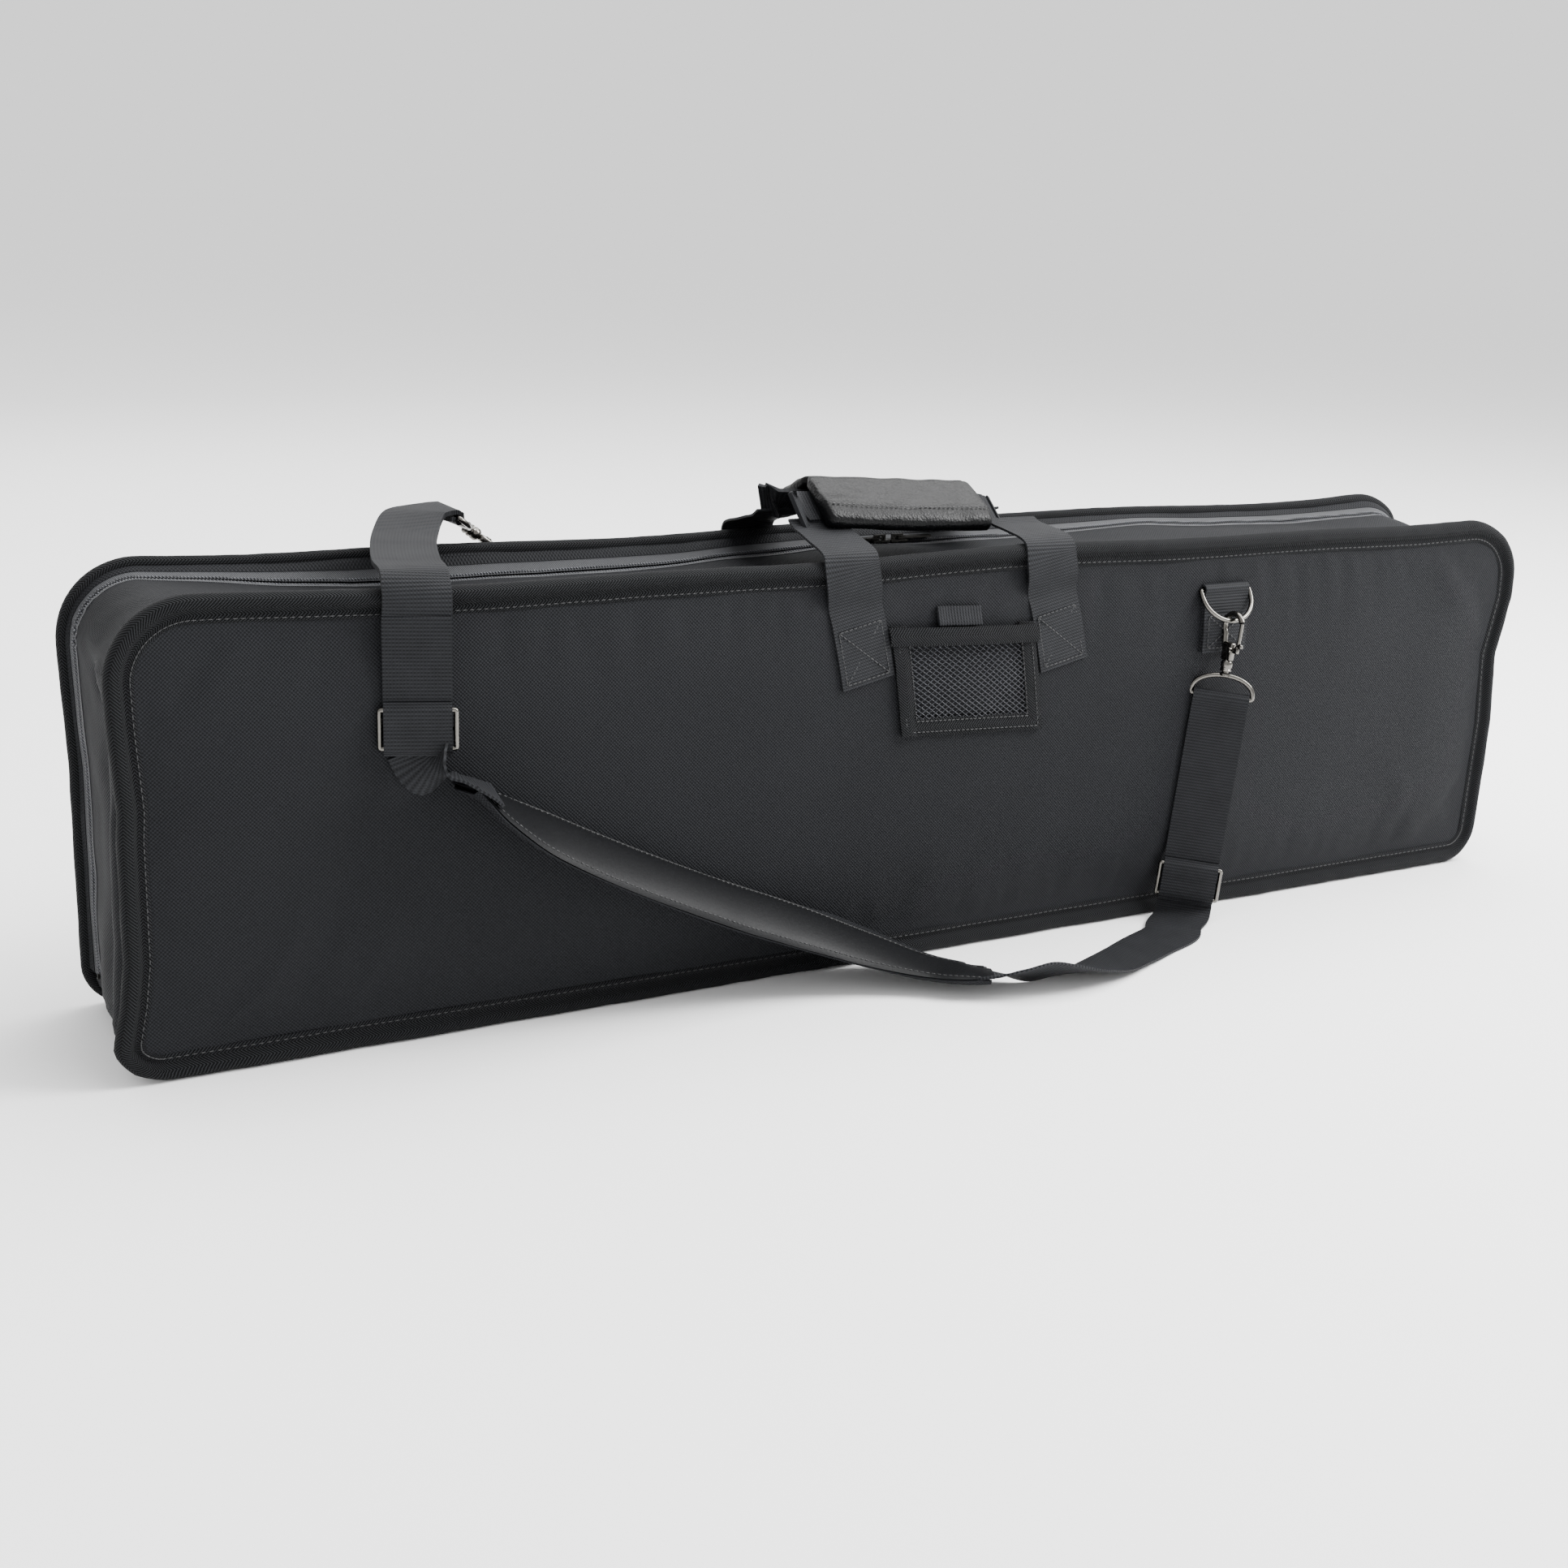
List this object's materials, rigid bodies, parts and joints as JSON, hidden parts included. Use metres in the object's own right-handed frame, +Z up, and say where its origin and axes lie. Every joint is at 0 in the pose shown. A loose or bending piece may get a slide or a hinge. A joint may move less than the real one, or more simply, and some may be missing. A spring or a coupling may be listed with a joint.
{
  "type": "padded telescope carry case",
  "caption": "Long padded fabric case with a zipped back panel, wrapped carry handles, a clip-on shoulder strap and a net label pocket.",
  "frame": {"origin": "middle of the base, on the surface that the case stands on", "axes": "+X along the case, -Y out of the front panel, +Z up"},
  "size_m": [1.02, 0.2703, 0.3089],
  "materials": {
    "shell_fabric": "woven polyester, close plain weave",
    "foam": "closed-cell foam",
    "lining": "brushed lining",
    "binding_tape": "twill binding tape",
    "zip_tape": "knitted tape",
    "zip_coil": "spiral coil",
    "webbing": "ribbed webbing",
    "grip_leather": "pebbled leatherette",
    "pad_leather": "smooth leatherette",
    "net": "diamond net",
    "gunmetal": "black nickel plate"
  },
  "bodies": {
    "case": {"front_panel_fabric": "shell_fabric", "front_panel_foam": "foam", "front_panel_lining": "lining", "gusset_fabric": "shell_fabric", "gusset_foam_top": "foam", "gusset_foam_base": "foam", "gusset_foam_left": "foam", "gusset_foam_right": "foam", "gusset_lining": "lining", "front_binding": "binding_tape", "zip_tape_case": "zip_tape", "zip_coil_case": "zip_coil", "zip_end_stops": "gunmetal", "handle_patches_front": "webbing", "pocket_frame": "binding_tape", "pocket_net": "net", "pocket_tab": "webbing", "ring_tab_front": "webbing", "snap_hook_front": "gunmetal", "strap_floor_run": "webbing", "shoulder_pad_face": "pad_leather", "shoulder_pad_core": "foam", "shoulder_pad_backing": "webbing", "strap_link": "webbing", "strap_riser_rear": "webbing", "strap_over_top": "webbing"},
    "back_panel": {"back_panel_fabric": "shell_fabric", "back_panel_foam": "foam", "back_panel_lining": "lining", "back_binding": "binding_tape", "zip_tape_back": "zip_tape", "zip_coil_back": "zip_coil", "zip_facing": "shell_fabric", "handle_patches_rear": "webbing", "ring_tab_rear": "webbing", "snap_hook_rear": "gunmetal", "strap_loop_rear": "gunmetal", "strap_end_rear": "webbing"},
    "handle_front": {"handle_webbing_front": "webbing", "grip_front": "grip_leather"},
    "handle_rear": {"handle_webbing_rear": "webbing", "grip_rear": "grip_leather"},
    "zip_slider_left": {"zip_slider_left": "gunmetal"},
    "zip_slider_right": {"zip_slider_right": "gunmetal"},
    "zip_pull_left": {"zip_pull_left": "gunmetal"},
    "zip_pull_right": {"zip_pull_right": "gunmetal"},
    "ring_front": {"d_ring_front": "gunmetal"},
    "ring_rear": {"d_ring_rear": "gunmetal"},
    "gate_front": {"hook_gate_front": "gunmetal"},
    "gate_rear": {"hook_gate_rear": "gunmetal"},
    "swivel_front": {"strap_loop_front": "gunmetal", "strap_riser_front": "webbing"},
    "glide_front": {"strap_glide_front": "gunmetal"},
    "glide_rear": {"strap_glide_rear": "gunmetal"}
  },
  "joints": [
    {"name": "back_panel_opens", "type": "hinge", "parent": "case", "child": "back_panel", "pos_m": [0, 0.0548, 0], "axis": [-1, 0, 0], "range_deg": [0, 90]},
    {"name": "handle_front_swings", "type": "hinge", "parent": "case", "child": "handle_front", "pos_m": [0, -0.0646, 0.23215], "axis": [1, 0, 0], "range_deg": [0, 120]},
    {"name": "handle_rear_swings", "type": "hinge", "parent": "back_panel", "child": "handle_rear", "pos_m": [0, 0.0646, 0.23215], "axis": [-1, 0, 0], "range_deg": [0, 120]},
    {"name": "zip_slider_left_runs", "type": "slide", "parent": "case", "child": "zip_slider_left", "axis": [-1, 0, 0], "range_m": [0, 0.47]},
    {"name": "zip_slider_right_runs", "type": "slide", "parent": "case", "child": "zip_slider_right", "axis": [1, 0, 0], "range_m": [0, 0.41]},
    {"name": "zip_pull_left_lifts", "type": "hinge", "parent": "zip_slider_left", "child": "zip_pull_left", "pos_m": [0.023, 0.047, 0.2577], "axis": [0, 1, 0], "range_deg": [0, 110]},
    {"name": "zip_pull_right_lifts", "type": "hinge", "parent": "zip_slider_right", "child": "zip_pull_right", "pos_m": [0.037, 0.047, 0.2577], "axis": [0, -1, 0], "range_deg": [0, 110]},
    {"name": "ring_front_swings", "type": "hinge", "parent": "case", "child": "ring_front", "pos_m": [0.232, -0.0667, 0.231], "axis": [1, 0, 0], "range_deg": [-1, 10]},
    {"name": "ring_rear_swings", "type": "hinge", "parent": "back_panel", "child": "ring_rear", "pos_m": [-0.216, 0.0667, 0.238], "axis": [1, 0, 0], "range_deg": [-3, 2]},
    {"name": "gate_front_opens", "type": "hinge", "parent": "case", "child": "gate_front", "pos_m": [0.22995, -0.08527, 0.19138], "axis": [-0.9945, 0, 0.1045], "range_deg": [0, 12], "stiffness_Nm_per_rad": 0.02, "springref_deg": -11.46},
    {"name": "gate_rear_opens", "type": "hinge", "parent": "back_panel", "child": "gate_rear", "pos_m": [-0.24868, 0.08048, 0.26345], "axis": [-0.6, 0, -0.8], "range_deg": [0, 12], "stiffness_Nm_per_rad": 0.02, "springref_deg": -11.46},
    {"name": "strap_front_swivels", "type": "hinge", "parent": "case", "child": "swivel_front", "pos_m": [0.22833, -0.07977, 0.17596], "axis": [0.1045, 0, 0.9945], "range_deg": [-2, 75]},
    {"name": "glide_front_slides", "type": "slide", "parent": "swivel_front", "child": "glide_front", "axis": [0.1045, 0, 0.9945], "range_m": [0, 0.08]},
    {"name": "glide_rear_slides", "type": "slide", "parent": "case", "child": "glide_rear", "axis": [0, 0, 1], "range_m": [0, 0.04]}
  ]
}
